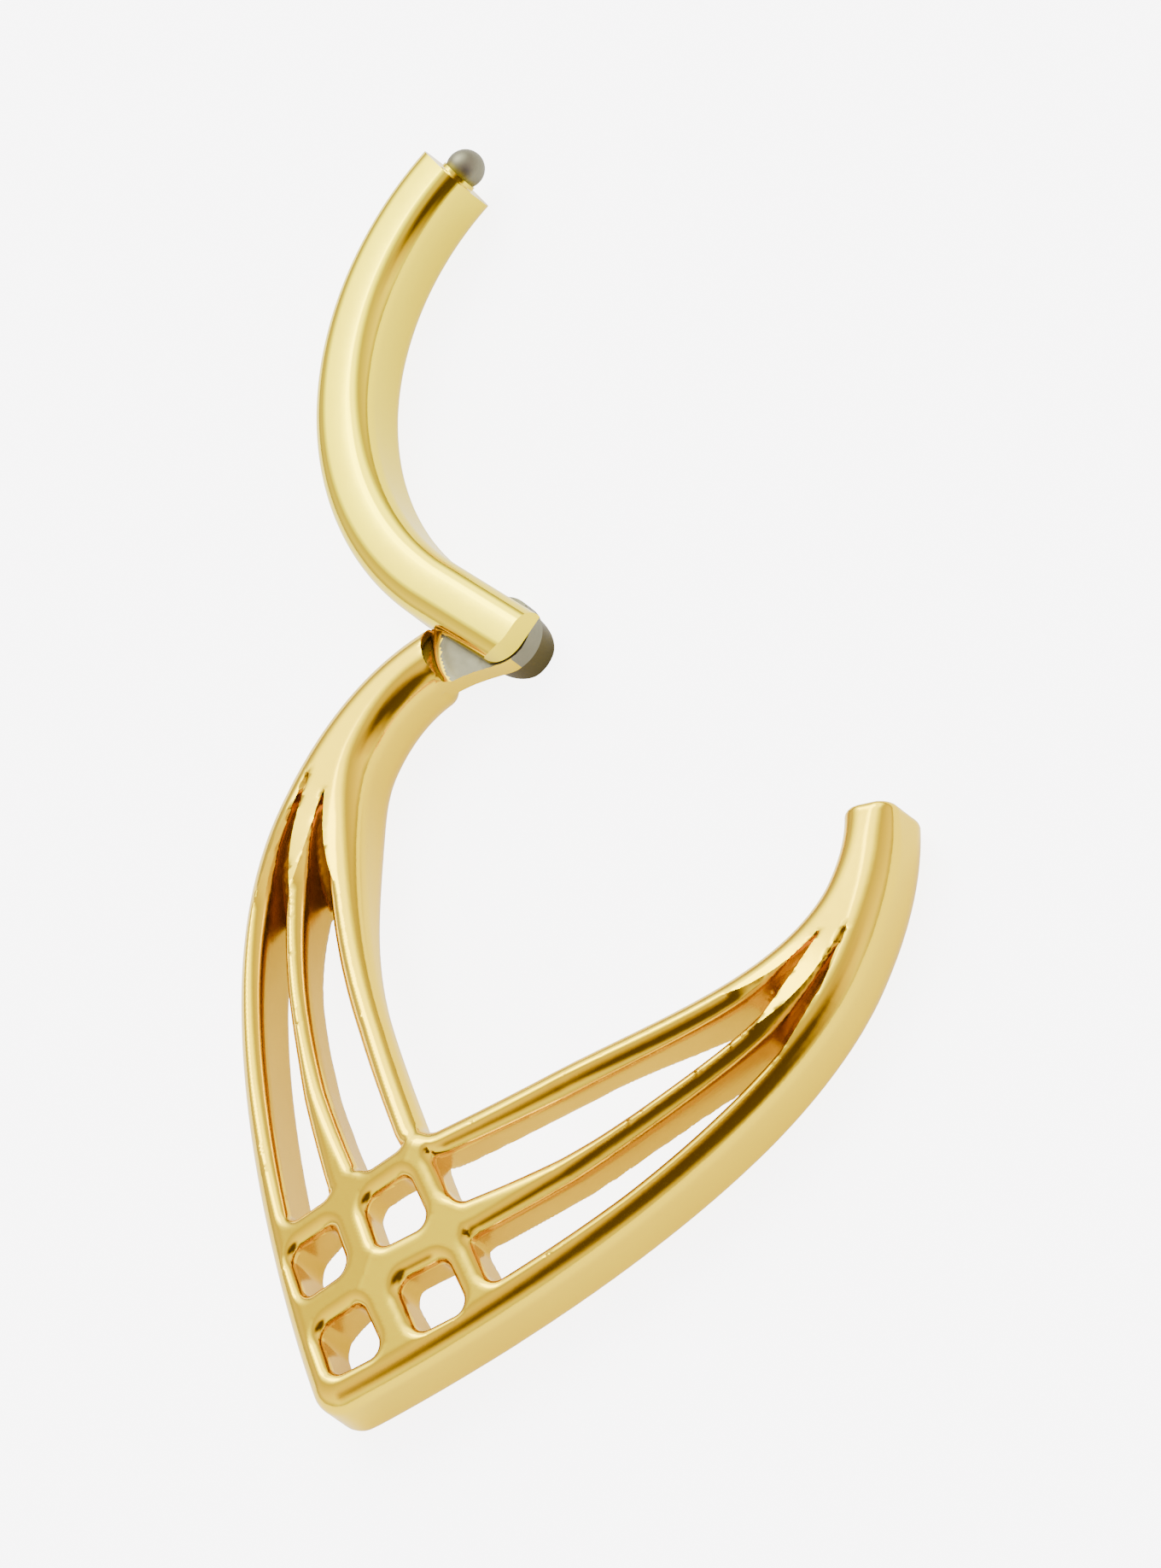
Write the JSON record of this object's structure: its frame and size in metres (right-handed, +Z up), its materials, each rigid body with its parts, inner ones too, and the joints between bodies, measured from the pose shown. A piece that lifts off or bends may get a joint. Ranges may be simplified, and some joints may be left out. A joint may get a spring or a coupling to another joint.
{
  "type": "hinged septum ring",
  "caption": "Heart-shaped septum ring with a pierced lattice front, split tapering arms and a curved bar that swings open on a hinge and snaps shut on a ball pin.",
  "frame": {"origin": "in the middle of the ring's opening, at its widest level, on the plane the ring lies on", "axes": "+X from the hinge side to the catch side, +Y from the point of the V to the wearing bar, +Z up out of the front face"},
  "size_m": [0.0148, 0.0194, 0.0018],
  "materials": {
    "gold_front": "polished gold-coloured coating on steel",
    "gold_gate": "polished pale gold-coloured coating on steel",
    "steel": "bare polished steel"
  },
  "bodies": {
    "front": {"front_frame": "gold_front"},
    "gate": {"gate": "gold_gate", "hinge_pin": "steel", "catch_pin": "steel"}
  },
  "joints": [
    {"name": "gate_hinge", "type": "hinge", "parent": "front", "child": "gate", "pos_m": [-0.00347, 0.00242, 0.0006], "axis": [0, 0, 1], "range_deg": [-133, 0]}
  ]
}
